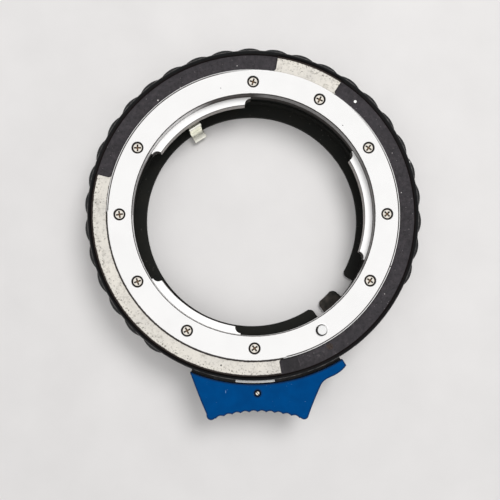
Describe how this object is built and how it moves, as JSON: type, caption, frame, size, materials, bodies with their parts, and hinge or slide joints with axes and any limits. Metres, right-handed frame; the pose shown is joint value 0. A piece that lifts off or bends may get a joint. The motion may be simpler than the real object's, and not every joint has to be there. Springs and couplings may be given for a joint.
{
  "type": "lens mount adapter",
  "caption": "Thin bayonet lens mount adapter with a scalloped aperture ring, a sprung lock pin and a sliding blue release lever.",
  "frame": {"origin": "on the optical axis, in the plane of the camera flange", "axes": "+Z along the optical axis towards the lens, +Y up and +X to the right when the lens side is seen"},
  "size_m": [0.0651, 0.0722, 0.0092],
  "materials": {
    "chromed_brass": "satin chrome on brass",
    "screw_steel": "bright steel",
    "black_anodised": "black anodised, worn at the edges",
    "white_paint": "white filled mark",
    "bright_strip": "bare bent strip",
    "spring_steel": "bright spring steel",
    "matte_black": "matte black paint",
    "blue_anodised": "blue anodised",
    "black_steel": "blackened steel",
    "brown_brass": "tarnished brass"
  },
  "bodies": {
    "adapter": {"mount_ring": "chromed_brass", "mount_ring_screws": "screw_steel", "body_ring": "black_anodised", "index_dot": "white_paint", "drag_spring": "spring_steel", "camera_bayonet": "chromed_brass", "camera_bayonet_screws": "screw_steel", "light_baffle": "matte_black", "lock_pin_spring": "spring_steel", "slide_stop_screw": "brown_brass", "return_spring": "spring_steel"},
    "aperture_ring": {"aperture_ring": "black_anodised", "aperture_finger": "bright_strip", "finger_screws": "screw_steel"},
    "release_lever": {"release_lever": "blue_anodised", "release_slide": "black_steel", "lever_screw": "screw_steel", "lever_pins": "screw_steel", "lever_index_bar": "white_paint"},
    "lock_pin": {"lock_pin": "screw_steel"}
  },
  "joints": [
    {"name": "aperture_turn", "type": "hinge", "parent": "adapter", "child": "aperture_ring", "pos_m": [0, 0, 0], "axis": [0, 0, 1], "range_deg": [-20, 10]},
    {"name": "release_turn", "type": "hinge", "parent": "adapter", "child": "release_lever", "pos_m": [0, 0, 0], "axis": [0, 0, 1], "range_deg": [0, 8], "stiffness_Nm_per_rad": 0.1, "springref_deg": -17.19, "deforming": ["return_spring"]},
    {"name": "lock_pin_slide", "type": "slide", "parent": "adapter", "child": "lock_pin", "axis": [0, 0, -1], "range_m": [0, 0.00101], "deforming": ["lock_pin_spring"]}
  ],
  "couplings": [
    {"joint": "lock_pin_slide", "follows": "release_turn", "m_per_rad": 0.007162}
  ]
}
